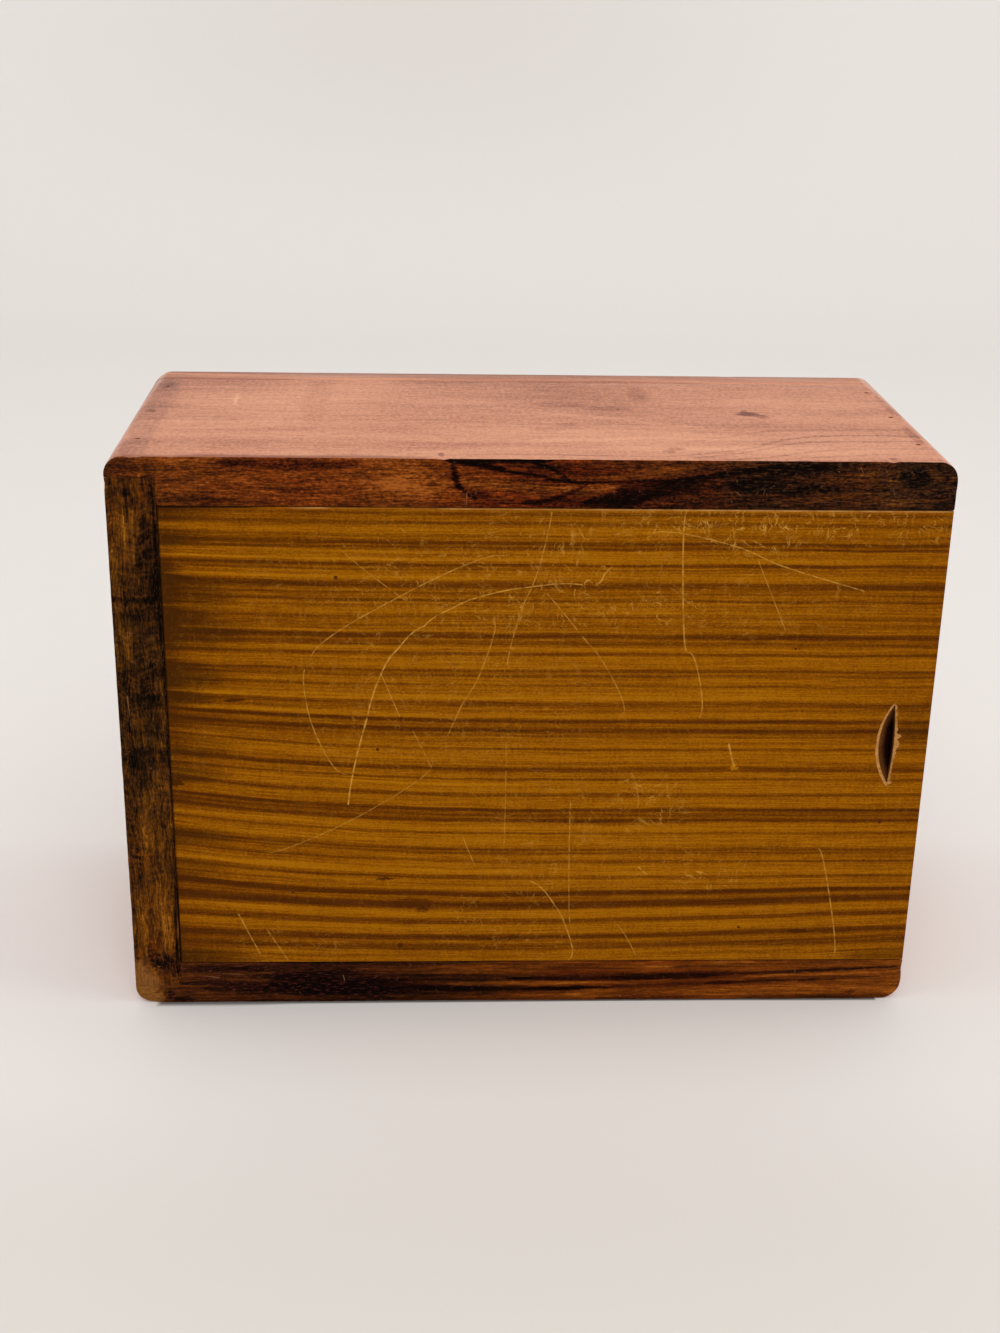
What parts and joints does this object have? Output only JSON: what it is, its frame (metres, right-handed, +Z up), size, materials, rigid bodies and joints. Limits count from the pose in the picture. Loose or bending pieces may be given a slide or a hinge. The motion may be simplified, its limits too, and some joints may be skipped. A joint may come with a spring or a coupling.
{
  "type": "urn box",
  "caption": "Rectangular rosewood urn box with a grooved sliding bottom panel, striped veneer and thumbnail notch.",
  "frame": {"origin": "middle of the footprint, on the surface that the box lies on", "axes": "+X along the box, towards the end where the panel draws out; +Y from the sliding panel to the display face; +Z up, as the box lies on its lower long board"},
  "size_m": [0.204, 0.093, 0.149],
  "materials": {
    "rosewood": "satin lacquer",
    "panel_core": "bare",
    "striped_veneer": "satin lacquer, scratched",
    "brads": "dulled"
  },
  "bodies": {
    "case": {"upper_long_board": "rosewood", "lower_long_board": "rosewood", "closed_end_board": "rosewood", "open_end_board": "rosewood", "face_board": "rosewood", "corner_brads": "brads"},
    "sliding_panel": {"sliding_panel": "panel_core", "panel_veneer": "striped_veneer"}
  },
  "joints": [
    {"name": "panel_slide", "type": "slide", "parent": "case", "child": "sliding_panel", "axis": [1, 0, 0], "range_m": [0, 0.198]}
  ]
}
